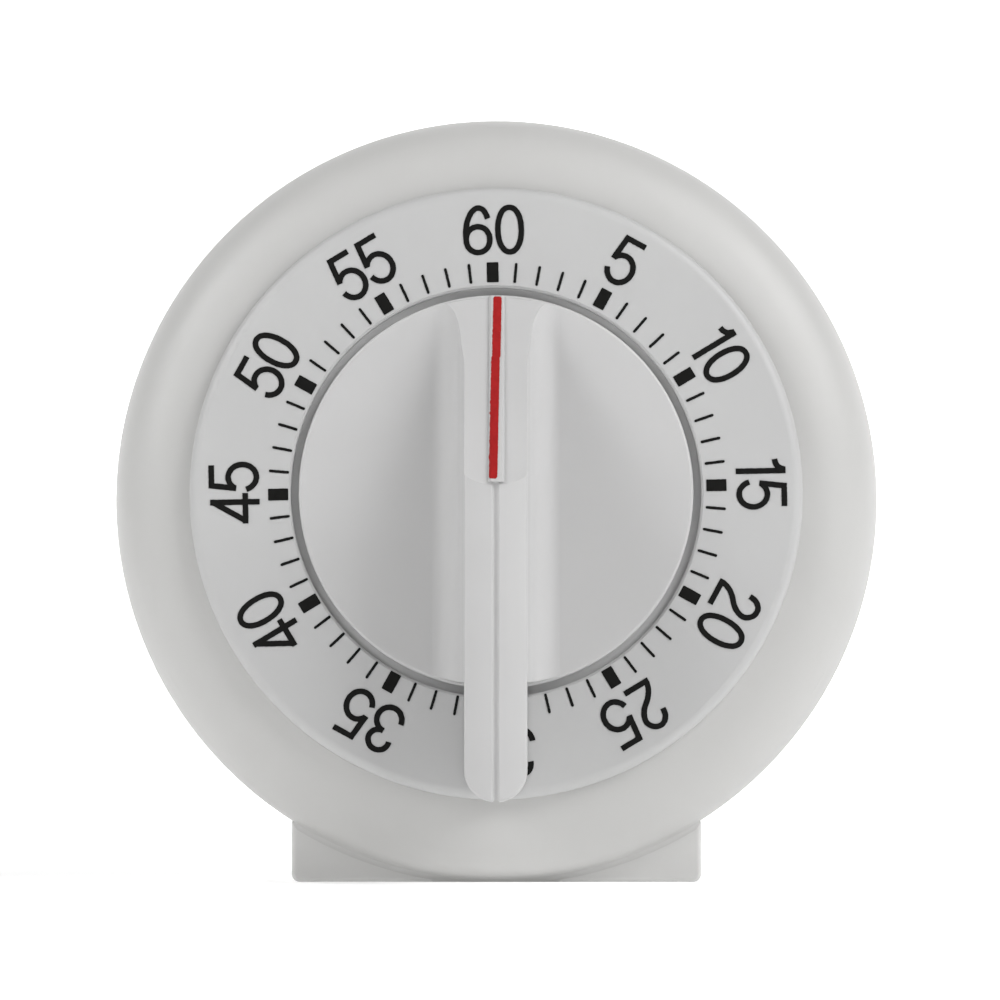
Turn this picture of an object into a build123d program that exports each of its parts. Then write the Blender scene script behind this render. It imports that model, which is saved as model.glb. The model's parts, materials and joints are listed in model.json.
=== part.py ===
"""Round sixty-minute mechanical kitchen timer.

Millimetres. +Z is up, the dial faces -Y and +X is to the right of a person who reads the dial.
The origin is the middle of the foot's underside. The dial axis runs along Y at height AXIS_Z.
"""

import os
from math import atan2, cos, degrees, hypot, pi, radians, sin, sqrt

from build123d import *

# ---------------------------------------------------------------- overall
CASE_RADIUS = 50.0
GROUND_GAP = 0.2
AXIS_Z = CASE_RADIUS + GROUND_GAP
FIT = 0.02
RUNNING = 0.05

# depths along Y, front to back
RIDGE_TOP = -36.0
KNOB_FACE = -20.5
DIAL_FACE = -20.0
KNOB_BACK = -19.0
WELL_FLOOR = -18.7
BEZEL_FRONT = -17.6
LIP_BACK = -15.6
SPIGOT_BACK = -14.1
FRONT_PLATE = (-9.0, -8.0)
BACK_PLATE = (4.0, 5.0)
PARTING = -4.0
COVER = (18.0, 19.6)
CASE_BACK = 21.0

# case
WALL = 1.8
LIP_BORE = 37.7
LIP_OUTER = 44.6
BEZEL_SHOULDER = -7.5
REAR_RADIUS = 48.5
REAR_BORE = 46.5
REAR_SPIGOT_RADIUS = 48.1
REAR_SPIGOT_FRONT = -7.2
SCREW_CIRCLE = 43.2
SCREW_START = 90
BOSS_RADIUS = 3.2
CASE_SCREW_RADIUS = 1.5
CASE_SCREW_TIP = -11.0
WEB_WIDTH = 2.4
LEDGE_RADIUS = 44.9
LEDGE_FRONT = 16.6
BEZEL_ROLL = (46.9, -14.9)
BEZEL_LINING = ((47.4, -10.6), (46.3, -12.8))
LIP_SHOULDER = 1.2
FRONT_WEB = (2.7, 5.0)
REAR_WEB = (2.4, 3.6)
THREAD_ROOM = 0.6
BACK_EDGE = 0.5

# cover
COVER_GAP = 0.3
COVER_EDGE = 0.4
SOUND_PITCH = 7.5
SOUND_ROWS = 3
SOUND_SLOT = 2.6
SOUND_FIELD = 30.0
BEAD_WIDTH = 1.2
BEAD_FIELD = 28.0
BEAD_HEIGHT = 0.4
CASE_HEAD = (2.7, 1.3)
RECESS = (2.8, 0.6, 0.8)

# foot
FOOT_WIDTH = 53.4
FOOT_FRONT = -3.4
TOE_FRONT = -9.2
TOE_INNER = 8.0
FOOT_CORNER = 1.0
FOOT_UPRIGHT = 0.6
FOOT_POCKET = (13.0, 24.9)
FOOT_WALL = 2.0
FOOT_POCKET_CORNER = 1.0

# dial plate
DIAL_RADIUS = 39.5
DIAL_EDGE = 1.3
WELL_RADIUS = 26.4
WELL_EDGE = 0.3
PLATE_SKIN = 1.8
ARBOR_OPENING = 4.0
MOUNT_CIRCLE = 31.0
MOUNT_ANGLES = (62, 150, 270)
MOUNT_BOSS = 3.0
MOUNT_SCREW = 1.0
MOUNT_HEAD = (2.1, -6.7)
MOUNT_SLOT = (0.5, 0.6)

# knob
KNOB_RADIUS = 25.35
KNOB_EDGE = 0.4
ARBOR_BORE_END = -27.2
RIDGE_WIDTH = 8.05
RIDGE_DRAFT = 0.4
RIDGE_CROWN = 0.7
RIDGE_EDGE = 0.3
TAIL_LENGTH = 39.85
TAIL_BACK = -20.3
RAMP_START = -0.4
RAMP_END_RISE = 0.05
RAMP_SAG = 0.4
FLARE_PROFILE = ((8.2, 0.0), (6.3, 0.6), (5.15, 1.7), (4.35, 4.6), (3.95, 8.0))
GROOVE_RADIUS = 0.5
GROOVE_RISE = 0.15
RIB_LINE_WIDTH = 2.0
RIB_LINE_SHIFT = 0.1
RIB_LINE_HEIGHT = 0.3
RIB_LINE_START = 0.0
RIB_LINE_EDGE = 0.28
FLAT_OFFSET = 1.7
FLAT_CUT = (4.0, 8.0)

# movement plates
PLATE_RADIUS = 35.0
PILLAR_CIRCLE = 31.5
PILLAR_ANGLES = (5, 95, 190, 300)
PILLAR_RADIUS = 2.0
SPRING_POST_RADIUS = 1.0
SPRING_TENON = 0.8
SPRING_STRIP = 0.34
SPRING_TURNS = 8
TENON = 1.3
NUT_FLATS = 4.5
PILLAR_THREAD = 1.2

# arbors: radii
ARBOR = 2.5
ARBOR_SHOULDER = 3.0
ARBOR_REAR = 1.8
CLIP_SEAT = 1.4
TRAIN_PIVOT = 0.6
FINE_PIVOT = 0.5
STOUT_BODY = 0.9
THIRD_BODY = 0.75
ESCAPE_BODY = 0.7
BALANCE_BODY = 0.8
HAMMER_PIVOT = 0.9
HAMMER_BODY = 1.1
STUD_BODY = 1.2
STUD_TENON = 1.0
STUD_NECK = 0.8
LEAF_TENON = 0.8
BELL_THREAD = 1.5

# gear train: teeth, module, leaves
LEAVES = 8
GREAT_TEETH = 64
GREAT_MODULE = 0.45
SECOND_TEETH = 60
SECOND_MODULE = 0.40
THIRD_TEETH = 48
THIRD_MODULE = 0.35
ESCAPE_TEETH = 20
ESCAPE_RADIUS = 6.0
STRIKE_TEETH = 15
STRIKE_RADIUS = 8.0

GREAT_LEVEL = (-1.4, -0.2)
SECOND_LEVEL = (2.4, 3.1)
THIRD_LEVEL = (0.4, 1.0)
ESCAPE_LEVEL = (-4.0, -3.3)
BALANCE_LEVEL = (-6.7, -5.9)
STRIKE_LEVEL = (1.6, 2.4)
CAM_LEVEL = (-11.6, -10.4)
LEVER_LEVEL = (-11.5, -10.5)
HAMMER_LEVEL = (9.0, 10.0)

# bell
BELL_CENTRE = (-5.0, -8.0)
BELL_RADIUS = 24.0
BELL_WALL = 1.0
BELL_RIM = 8.0
BELL_CROWN = 16.0
STRIKE_GAP = 0.75
HEAD_RADIUS = 2.2

SECTION = Plane.XY.offset(AXIS_Z)
DIAL_AXIS = Axis((0, 0, AXIS_Z), (0, 1, 0))


# ---------------------------------------------------------------- helpers
def facing(y):
    """Plane at depth y that faces the reader; x to the right, y up, origin on the dial axis."""
    return Plane(origin=(0, y, AXIS_Z), x_dir=(1, 0, 0), z_dir=(0, -1, 0))


def polar(centre, radius, angle):
    """Point at a radius and an angle in radians about a centre."""
    return (centre[0] + radius * cos(angle), centre[1] + radius * sin(angle))


def toward(start, end):
    """Angle in radians of the direction from one point to another."""
    return atan2(end[1] - start[1], end[0] - start[0])


def discs(centres, radius, front, back, mode=Mode.ADD):
    """Round column about each centre between two depths."""
    with BuildSketch(facing(back)) as outline:
        with Locations(*centres):
            Circle(radius)
    extrude(outline.sketch, amount=back - front, mode=mode)


def turned(centre, steps):
    """Stepped shaft: each step is front, back and radius."""
    for front, back, radius in steps:
        discs([centre], radius, front, back)


def link(start, end, width):
    """Round-ended flat bar between two points of the open sketch."""
    length = hypot(end[0] - start[0], end[1] - start[1])
    middle = ((start[0] + end[0]) / 2, (start[1] + end[1]) / 2)
    with Locations(middle):
        SlotCenterToCenter(length, width, rotation=degrees(toward(start, end)))


def bulged(start, end, radius, inside):
    """Arc between two points that bulges away from the point called inside."""
    middle = ((start[0] + end[0]) / 2, (start[1] + end[1]) / 2)
    chord = hypot(end[0] - start[0], end[1] - start[1])
    sagitta = radius - sqrt(radius**2 - (chord / 2) ** 2)
    normal = ((start[1] - end[1]) / chord, (end[0] - start[0]) / chord)
    outward = (middle[0] - inside[0]) * normal[0] + (middle[1] - inside[1]) * normal[1]
    side = 1 if outward > 0 else -1
    crest = (middle[0] + side * sagitta * normal[0], middle[1] + side * sagitta * normal[1])
    ThreePointArc(start, crest, end)


def addendum_factor(teeth):
    """Practical cycloidal addendum of a wheel that drives an eight-leaf pinion, in modules."""
    ratio = 2 * teeth / LEAVES
    angle = 1.0
    previous = 0.0
    while abs(angle - previous) > 1e-9:
        previous = angle
        lean = atan2(sin(previous), 1 + ratio - cos(previous))
        angle = pi / LEAVES + ratio * lean
    reach = 1 + ratio
    distance = sqrt(1 + reach**2 - 2 * reach * cos(angle))
    return 0.95 * 0.25 * LEAVES * (1 - reach + distance)


def tooth_ring(centre, count, radii, half_angle, tip_arc, phase):
    """Clock-tooth outline: radial flanks and two arcs that meet at each tooth's tip."""
    root, pitch, tip = radii
    with BuildLine() as outline:
        for index in range(count):
            angle = phase + 2 * pi * index / count
            left_root = polar(centre, root, angle - half_angle)
            left_pitch = polar(centre, pitch, angle - half_angle)
            crown = polar(centre, tip, angle)
            right_pitch = polar(centre, pitch, angle + half_angle)
            right_root = polar(centre, root, angle + half_angle)
            following = polar(centre, root, angle + 2 * pi / count - half_angle)
            heart = polar(centre, root, angle)
            Line(left_root, left_pitch)
            bulged(left_pitch, crown, tip_arc, heart)
            bulged(crown, right_pitch, tip_arc, heart)
            Line(right_pitch, right_root)
            Line(right_root, following)
    make_face(outline.edges())


def wheel_outline(centre, teeth, module, phase):
    """Wheel with epicycloidal teeth in the open sketch."""
    pitch = teeth * module / 2
    addendum = addendum_factor(teeth) * module
    radii = (pitch - 1.57 * module, pitch, pitch + addendum)
    tooth_ring(centre, teeth, radii, 0.785 * module / pitch, 1.4 * addendum, phase)


def pinion_outline(centre, module, partner_teeth, phase):
    """Eight-leaf pinion in the open sketch."""
    pitch = LEAVES * module / 2
    root = pitch - (addendum_factor(partner_teeth) + 0.4) * module
    radii = (root, pitch, pitch + 0.67 * module)
    tooth_ring(centre, LEAVES, radii, 0.525 * module / pitch, 0.7 * module, phase)


def pinion_phase(wheel_centre, wheel_teeth, wheel_phase, pinion_centre):
    """Leaf angle at which a pinion's space receives the wheel's tooth."""
    angle = toward(wheel_centre, pinion_centre)
    turn = ((wheel_phase - angle) / (2 * pi / wheel_teeth)) % 1.0
    return angle + pi - turn * 2 * pi / LEAVES + pi / LEAVES


def saw_ring(centre, count, tip, root, phase, lean):
    """Pointed saw-tooth outline in the open sketch; lean is the side the teeth point to."""
    with BuildLine() as outline:
        for index in range(count):
            angle = phase + 2 * pi * index / count
            step = lean * 2 * pi / count
            point = polar(centre, tip, angle)
            heel = polar(centre, root, angle + 0.12 * step)
            toe = polar(centre, root, angle + 0.62 * step)
            following = polar(centre, tip, angle + step)
            Line(point, heel)
            Line(heel, toe)
            Line(toe, following)
    make_face(outline.edges())


def crossings(centre, level, outer, inner, spokes, width, turn=0.0):
    """Cuts the windows between a wheel's rim and its hub, leaving the spokes."""
    with BuildSketch(facing(level[1] + 0.5)) as windows:
        with Locations(centre):
            Circle(outer)
            Circle(inner, mode=Mode.SUBTRACT)
            for index in range(spokes):
                Rectangle(
                    2 * outer, width, rotation=turn + 180 * index / spokes, mode=Mode.SUBTRACT
                )
    extrude(windows.sketch, amount=level[1] - level[0] + 1.0, mode=Mode.SUBTRACT)


def save(builder, label):
    """Names a finished piece and writes its file."""
    builder.part.label = label
    export_step(builder.part, f"parts/{label}.step")


# ---------------------------------------------------------------- train layout
MAIN = (0.0, 0.0)
SECOND = polar(MAIN, (GREAT_TEETH + LEAVES) * GREAT_MODULE / 2, radians(125))
THIRD = polar(SECOND, (SECOND_TEETH + LEAVES) * SECOND_MODULE / 2, radians(20))
ESCAPE = polar(THIRD, (THIRD_TEETH + LEAVES) * THIRD_MODULE / 2, radians(10))
BALANCE = polar(ESCAPE, 8.5, radians(-20))
STRIKE = polar(MAIN, (GREAT_TEETH + LEAVES) * GREAT_MODULE / 2, radians(-20))
HAMMER = polar(STRIKE, 10.5, radians(-50))
SPRING_ANGLE = radians(255)
SPRING_POST = polar(MAIN, 16.6, SPRING_ANGLE)

NOSE_ANGLE = radians(235)
NOSE_ELBOW = polar(MAIN, 13.0, NOSE_ANGLE)
LEVER_PIVOT = polar(NOSE_ELBOW, 12.0, NOSE_ANGLE + pi / 2)
LEAF_FOOT = (-15.5, -17.0)

GREAT_PHASE = toward(MAIN, SECOND)
SECOND_PINION = pinion_phase(MAIN, GREAT_TEETH, GREAT_PHASE, SECOND)
STRIKE_PINION = pinion_phase(MAIN, GREAT_TEETH, GREAT_PHASE, STRIKE)
SECOND_PHASE = toward(SECOND, THIRD)
THIRD_PINION = pinion_phase(SECOND, SECOND_TEETH, SECOND_PHASE, THIRD)
THIRD_PHASE = toward(THIRD, ESCAPE)
ESCAPE_PINION = pinion_phase(THIRD, THIRD_TEETH, THIRD_PHASE, ESCAPE)

HEAD_CENTRE = polar(BELL_CENTRE, BELL_RADIUS + STRIKE_GAP + HEAD_RADIUS, radians(18))

os.makedirs("parts", exist_ok=True)


# ---------------------------------------------------------------- case
def make_front_case():
    """Bezel: rolled front ring with the dial's seat, side wall and three screw bosses."""
    with BuildPart() as front_case:
        with BuildSketch(SECTION):
            with BuildLine():
                roll = Spline(
                    (DIAL_RADIUS + 0.1, BEZEL_FRONT),
                    BEZEL_ROLL,
                    (CASE_RADIUS, BEZEL_SHOULDER),
                    tangents=[(1.0, 0.12), (0.0, 1.0)],
                )
                Polyline(
                    roll @ 1,
                    (CASE_RADIUS, PARTING),
                    (CASE_RADIUS - WALL, PARTING),
                    (CASE_RADIUS - WALL, BEZEL_SHOULDER - 0.5),
                    *BEZEL_LINING,
                    (LIP_OUTER, LIP_BACK + LIP_SHOULDER),
                    (LIP_OUTER, LIP_BACK),
                    (LIP_BORE, LIP_BACK),
                    (LIP_BORE, BEZEL_FRONT),
                    roll @ 0,
                )
            make_face()
        revolve(axis=DIAL_AXIS)
        with BuildSketch(facing(PARTING)):
            with PolarLocations(SCREW_CIRCLE, 3, start_angle=SCREW_START):
                Circle(BOSS_RADIUS)
        extrude(amount=PARTING - SPIGOT_BACK)
        web_back = REAR_SPIGOT_FRONT - 0.4
        with BuildSketch(facing(web_back)):
            with PolarLocations(SCREW_CIRCLE + FRONT_WEB[0], 3, start_angle=SCREW_START):
                Rectangle(FRONT_WEB[1], WEB_WIDTH)
        extrude(amount=web_back - (SPIGOT_BACK + 0.8))
        with BuildSketch(facing(PARTING)):
            with PolarLocations(SCREW_CIRCLE, 3, start_angle=SCREW_START):
                Circle(CASE_SCREW_RADIUS + FIT)
        extrude(amount=PARTING - CASE_SCREW_TIP + THREAD_ROOM, mode=Mode.SUBTRACT)
    save(front_case, "front_case")


def make_rear_case():
    """Rear drum with its spigot, screw bosses and the foot it stands on."""
    with BuildPart() as rear_case:
        with BuildSketch(facing(CASE_BACK)):
            Circle(REAR_RADIUS)
            with Locations((0, -AXIS_Z / 2)):
                Rectangle(FOOT_WIDTH, AXIS_Z)
        extrude(amount=CASE_BACK - FOOT_FRONT)
        with BuildSketch(facing(FOOT_FRONT)):
            with Locations((0, -AXIS_Z / 2)):
                Rectangle(FOOT_WIDTH, AXIS_Z)
                Rectangle(2 * TOE_INNER, AXIS_Z, mode=Mode.SUBTRACT)
            Circle(CASE_RADIUS + FIT, mode=Mode.SUBTRACT)
        extrude(amount=FOOT_FRONT - TOE_FRONT)
        underside = rear_case.edges().filter_by(Axis.Y).group_by(Axis.Z)[0].sort_by(Axis.X)
        fillet([underside[0], underside[-1]], radius=FOOT_CORNER)
        uprights = rear_case.edges().filter_by(Axis.Z).group_by(Axis.Y)[0].sort_by(Axis.X)
        fillet([uprights[0], uprights[-1]], radius=FOOT_UPRIGHT)
        back_outline = rear_case.faces().sort_by(Axis.Y)[-1].outer_wire()
        fillet(back_outline.edges(), radius=BACK_EDGE)
        discs([MAIN], REAR_RADIUS, PARTING, FOOT_FRONT)
        discs([MAIN], REAR_SPIGOT_RADIUS, REAR_SPIGOT_FRONT, PARTING)
        discs([MAIN], REAR_BORE, REAR_SPIGOT_FRONT - 1, CASE_BACK + 1, Mode.SUBTRACT)
        with BuildSketch(facing(COVER[0])):
            with PolarLocations(SCREW_CIRCLE, 3, start_angle=SCREW_START):
                Circle(BOSS_RADIUS)
            with PolarLocations(SCREW_CIRCLE + REAR_WEB[0], 3, start_angle=SCREW_START):
                Rectangle(REAR_WEB[1], WEB_WIDTH)
        extrude(amount=COVER[0] - PARTING)
        with BuildSketch(facing(COVER[0])):
            Circle(REAR_BORE + 0.2)
            Circle(LEDGE_RADIUS, mode=Mode.SUBTRACT)
        extrude(amount=COVER[0] - LEDGE_FRONT)
        with BuildSketch(facing(COVER[0] + 1)):
            with PolarLocations(SCREW_CIRCLE, 3, start_angle=SCREW_START):
                Circle(CASE_SCREW_RADIUS + 0.2)
        extrude(amount=COVER[0] + 1 - PARTING, mode=Mode.SUBTRACT)
        pocket_middle = sum(FOOT_POCKET) / 2
        pocket_length = CASE_BACK - FOOT_FRONT - 2 * FOOT_WALL
        with BuildSketch(Plane.XY):
            with Locations(
                (pocket_middle, (CASE_BACK + FOOT_FRONT) / 2),
                (-pocket_middle, (CASE_BACK + FOOT_FRONT) / 2),
            ):
                RectangleRounded(FOOT_POCKET[1] - FOOT_POCKET[0], pocket_length, FOOT_POCKET_CORNER)
        pocket = extrude(amount=AXIS_Z / 2, mode=Mode.PRIVATE)
        with BuildSketch(facing(CASE_BACK), mode=Mode.PRIVATE) as drum_outline:
            Circle(REAR_RADIUS)
        drum = extrude(drum_outline.sketch, amount=CASE_BACK - FOOT_FRONT, mode=Mode.PRIVATE)
        add(pocket - drum, mode=Mode.SUBTRACT)
    save(rear_case, "rear_case")


def make_back_cover():
    """Flat cover with sound slots in front of the bell."""
    with BuildPart() as back_cover:
        discs([MAIN], REAR_BORE - COVER_GAP, COVER[0], COVER[1])
        rim = back_cover.edges().group_by(Axis.Y)[-1]
        fillet(rim, radius=COVER_EDGE)
        with BuildSketch(facing(COVER[1] + 1)):
            with PolarLocations(SCREW_CIRCLE, 3, start_angle=SCREW_START):
                Circle(CASE_SCREW_RADIUS + 0.15)
            for row in range(-SOUND_ROWS, SOUND_ROWS + 1):
                height = SOUND_PITCH * row
                with Locations((0, height)):
                    SlotOverall(2 * sqrt(SOUND_FIELD**2 - height**2), SOUND_SLOT)
        extrude(amount=2 * (COVER[1] + 1 - COVER[0]), mode=Mode.SUBTRACT)
        with BuildSketch(facing(COVER[1])):
            for row in range(-SOUND_ROWS, SOUND_ROWS):
                height = SOUND_PITCH * (row + 0.5)
                with Locations((0, height)):
                    SlotOverall(2 * sqrt(BEAD_FIELD**2 - height**2), BEAD_WIDTH)
        extrude(amount=-BEAD_HEIGHT)
    save(back_cover, "back_cover")


def make_case_screws():
    """Three long cross-recess screws that hold the cover and both case halves."""
    head_radius, head_height = CASE_HEAD
    cross_length, cross_width, cross_depth = RECESS
    head_back = COVER[1] + head_height
    with BuildPart() as case_screws:
        with BuildSketch(facing(COVER[1])):
            with PolarLocations(SCREW_CIRCLE, 3, start_angle=SCREW_START):
                Circle(CASE_SCREW_RADIUS)
        extrude(amount=COVER[1] - CASE_SCREW_TIP)
        tips = case_screws.edges().group_by(Axis.Y)[0]
        chamfer(tips, length=0.6)
        with BuildSketch(facing(head_back)):
            with PolarLocations(SCREW_CIRCLE, 3, start_angle=SCREW_START):
                Circle(head_radius)
        extrude(amount=head_height)
        heads = case_screws.edges().group_by(Axis.Y)[-1]
        fillet(heads, radius=0.7)
        with BuildSketch(facing(head_back)):
            with PolarLocations(SCREW_CIRCLE, 3, start_angle=SCREW_START):
                Rectangle(cross_length, cross_width)
                Rectangle(cross_width, cross_length)
        extrude(amount=cross_depth, mode=Mode.SUBTRACT)
    save(case_screws, "case_screws")


def make_dial_plate():
    """Raised dial ring with the well for the knob and the bosses for the movement."""
    spigot = LIP_BORE - FIT
    skin_back = DIAL_FACE + PLATE_SKIN
    floor_back = WELL_FLOOR + PLATE_SKIN
    with BuildPart() as dial_plate:
        with BuildSketch(SECTION):
            with BuildLine():
                Line((WELL_RADIUS + WELL_EDGE, DIAL_FACE), (DIAL_RADIUS - DIAL_EDGE, DIAL_FACE))
                RadiusArc(
                    (DIAL_RADIUS - DIAL_EDGE, DIAL_FACE),
                    (DIAL_RADIUS, DIAL_FACE + DIAL_EDGE),
                    -DIAL_EDGE,
                )
                Polyline(
                    (DIAL_RADIUS, DIAL_FACE + DIAL_EDGE),
                    (DIAL_RADIUS, BEZEL_FRONT),
                    (spigot, BEZEL_FRONT),
                    (spigot, SPIGOT_BACK),
                    (spigot - PLATE_SKIN, SPIGOT_BACK),
                    (spigot - PLATE_SKIN, skin_back),
                    (WELL_RADIUS + PLATE_SKIN, skin_back),
                    (WELL_RADIUS + PLATE_SKIN, floor_back),
                    (ARBOR_OPENING, floor_back),
                    (ARBOR_OPENING, WELL_FLOOR),
                    (WELL_RADIUS, WELL_FLOOR),
                    (WELL_RADIUS, DIAL_FACE + WELL_EDGE),
                    (WELL_RADIUS + WELL_EDGE, DIAL_FACE),
                )
            make_face()
        revolve(axis=DIAL_AXIS)
        centres = [polar(MAIN, MOUNT_CIRCLE, radians(angle)) for angle in MOUNT_ANGLES]
        discs(centres, MOUNT_BOSS, skin_back, FRONT_PLATE[0])
        discs(centres, MOUNT_SCREW + FIT, skin_back + 2.0, FRONT_PLATE[0], Mode.SUBTRACT)
    save(dial_plate, "dial_plate")


# ---------------------------------------------------------------- knob
def pointer_rib(start, end):
    """Low rib that follows the ramp and carries the pointer line."""
    with BuildPart() as rib:
        with BuildSketch(Plane.YZ.offset(RIB_LINE_SHIFT - RIB_LINE_WIDTH / 2)):
            with BuildLine():
                crest = SagittaArc(start, end, RAMP_SAG)
                Polyline(
                    crest @ 1,
                    (KNOB_FACE + 0.3, end[1]),
                    (KNOB_FACE + 0.3, start[1]),
                    crest @ 0,
                )
            make_face()
        extrude(amount=RIB_LINE_WIDTH)
        top = rib.faces().filter_by(GeomType.CYLINDER)[0]
        chamfer(top.edges().filter_by(GeomType.CIRCLE), length=RIB_LINE_EDGE)
    return rib.part


def make_knob():
    """Turning disc with a tall grip whose upper half slopes down to the pointer."""
    disc_face = KNOB_RADIUS - KNOB_EDGE
    half_width = RIDGE_WIDTH / 2
    tail_centre = half_width - TAIL_LENGTH
    with BuildPart() as knob:
        with BuildSketch(facing(TAIL_BACK)):
            Circle(disc_face)
            Rectangle(RIDGE_WIDTH, 2 * KNOB_RADIUS, mode=Mode.INTERSECT)
            with Locations((0, tail_centre / 2)):
                Rectangle(RIDGE_WIDTH, -tail_centre)
            with Locations((0, tail_centre)):
                Circle(half_width)
        extrude(amount=TAIL_BACK - RIDGE_TOP, taper=RIDGE_DRAFT)
        crown = RIDGE_TOP + RIDGE_CROWN
        with BuildSketch(Plane.XY.offset(AXIS_Z - TAIL_LENGTH)):
            with BuildLine():
                arch = ThreePointArc((-half_width, crown), (0, RIDGE_TOP), (half_width, crown))
                Polyline(
                    arch @ 1,
                    (half_width, RIDGE_TOP - 1),
                    (-half_width, RIDGE_TOP - 1),
                    arch @ 0,
                )
            make_face()
        extrude(amount=TAIL_LENGTH + KNOB_RADIUS, mode=Mode.SUBTRACT)
        crest = knob.faces().filter_by(GeomType.CYLINDER).sort_by(Axis.Y)[0]
        fillet(crest.edges(), radius=RIDGE_EDGE)
        with BuildSketch(facing(TAIL_BACK + 1)):
            with Locations((0, -TAIL_LENGTH - GROOVE_RISE)):
                Circle(GROOVE_RADIUS)
        extrude(amount=TAIL_BACK + 1 - RIDGE_TOP, mode=Mode.SUBTRACT)
        with BuildSketch(Plane.XY.offset(AXIS_Z - TAIL_LENGTH - 1)):
            with Locations((0, RIDGE_TOP - GROOVE_RISE)):
                Circle(GROOVE_RADIUS)
        extrude(amount=TAIL_LENGTH + 2, mode=Mode.SUBTRACT)
        flare_right = [(x, KNOB_FACE - height) for x, height in FLARE_PROFILE]
        flare_left = [(-x, y) for x, y in flare_right]
        with BuildSketch(Plane.XY.offset(AXIS_Z - KNOB_RADIUS), mode=Mode.PRIVATE) as flare:
            with BuildLine():
                right = Spline(*flare_right, tangents=[(-1.0, 0.0), (0.0, -1.0)])
                left = Spline(*flare_left, tangents=[(1.0, 0.0), (0.0, -1.0)])
                Line(left @ 1, right @ 1)
                Polyline(
                    left @ 0,
                    (flare_left[0][0], KNOB_BACK),
                    (flare_right[0][0], KNOB_BACK),
                    right @ 0,
                )
            make_face()
        bar = extrude(flare.sketch, amount=2 * KNOB_RADIUS, mode=Mode.PRIVATE)
        with BuildSketch(facing(KNOB_BACK), mode=Mode.PRIVATE) as bound:
            Circle(disc_face)
        column = extrude(bound.sketch, amount=20.0, mode=Mode.PRIVATE)
        add(bar & column)
        ramp_start = (RIDGE_TOP, AXIS_Z + RAMP_START)
        ramp_end = (KNOB_FACE - RAMP_END_RISE, AXIS_Z + disc_face)
        beyond = (KNOB_FACE - RAMP_END_RISE, AXIS_Z + 2 * KNOB_RADIUS)
        with BuildSketch(Plane.YZ.offset(-KNOB_RADIUS)):
            with BuildLine():
                ramp = SagittaArc(ramp_start, ramp_end, RAMP_SAG)
                Polyline(
                    ramp @ 1,
                    beyond,
                    (RIDGE_TOP - 5, beyond[1]),
                    (RIDGE_TOP - 5, ramp_start[1]),
                    ramp @ 0,
                )
            make_face()
        extrude(amount=2 * KNOB_RADIUS, mode=Mode.SUBTRACT)
        rib_start = (ramp_start[0] - RIB_LINE_HEIGHT, AXIS_Z + RIB_LINE_START)
        rib_end = (ramp_end[0] - RIB_LINE_HEIGHT, AXIS_Z + KNOB_RADIUS - 0.1)
        add(pointer_rib(rib_start, rib_end))
        with BuildSketch(SECTION):
            with BuildLine():
                Line((0, KNOB_FACE), (disc_face, KNOB_FACE))
                RadiusArc(
                    (disc_face, KNOB_FACE),
                    (KNOB_RADIUS, KNOB_FACE + KNOB_EDGE),
                    -KNOB_EDGE,
                )
                Polyline(
                    (KNOB_RADIUS, KNOB_FACE + KNOB_EDGE),
                    (KNOB_RADIUS, KNOB_BACK),
                    (0, KNOB_BACK),
                    (0, KNOB_FACE),
                )
            make_face()
        revolve(axis=DIAL_AXIS)
        with BuildSketch(facing(KNOB_BACK + 1)):
            Circle(ARBOR + FIT)
            with Locations((FLAT_OFFSET + FLAT_CUT[0] / 2 + FIT, 0)):
                Rectangle(*FLAT_CUT, mode=Mode.SUBTRACT)
        extrude(amount=KNOB_BACK + 1 - ARBOR_BORE_END, mode=Mode.SUBTRACT)
    return knob


def make_main_arbor():
    """Winding arbor with the knob's flat, the spring seat and a clip groove."""
    with BuildPart() as main_arbor:
        turned(
            MAIN,
            [
                (-27.0, -9.9, ARBOR),
                (-9.9, -1.9, ARBOR_SHOULDER),
                (-1.9, 3.8, ARBOR),
                (3.8, 6.6, ARBOR_REAR),
            ],
        )
        ends = main_arbor.edges().filter_by(GeomType.CIRCLE).group_by(Axis.Y)
        chamfer(ends[0] + ends[-1], length=0.3)
        with BuildSketch(facing(KNOB_BACK + 0.4)):
            with Locations((FLAT_OFFSET + FLAT_CUT[0] / 2, 0)):
                Rectangle(*FLAT_CUT)
        extrude(amount=10.0, mode=Mode.SUBTRACT)
        with BuildSketch(facing(5.8)):
            Circle(2.2)
            Circle(CLIP_SEAT, mode=Mode.SUBTRACT)
        extrude(amount=0.65, mode=Mode.SUBTRACT)
    save(main_arbor, "main_arbor")


def make_arbor_clip():
    """Open ring in the groove at the arbor's rear end."""
    with BuildPart() as arbor_clip:
        with BuildSketch(facing(5.75)):
            Circle(3.2)
            Circle(CLIP_SEAT + FIT, mode=Mode.SUBTRACT)
            with Locations((0, -2.4)):
                Rectangle(2.3, 4.8, mode=Mode.SUBTRACT)
            with PolarLocations(2.6, 2, start_angle=0):
                Circle(0.45, mode=Mode.SUBTRACT)
        extrude(amount=0.5)
    save(arbor_clip, "arbor_clip")


def make_zero_cam():
    """Disc on the arbor whose notch frees the alarm at zero."""
    with BuildPart() as zero_cam:
        discs([MAIN], 9.5, CAM_LEVEL[0], CAM_LEVEL[1])
        discs([MAIN], 4.2, -12.4, CAM_LEVEL[0])
        with BuildSketch(facing(CAM_LEVEL[1])):
            with Locations(polar(MAIN, 9.2, NOSE_ANGLE)):
                Rectangle(4.0, 3.6, rotation=degrees(NOSE_ANGLE))
        extrude(amount=CAM_LEVEL[1] - CAM_LEVEL[0], mode=Mode.SUBTRACT)
        discs([MAIN], ARBOR + FIT, CAM_LEVEL[0] - 1, CAM_LEVEL[1] + 1, Mode.SUBTRACT)
    save(zero_cam, "zero_cam")


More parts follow.
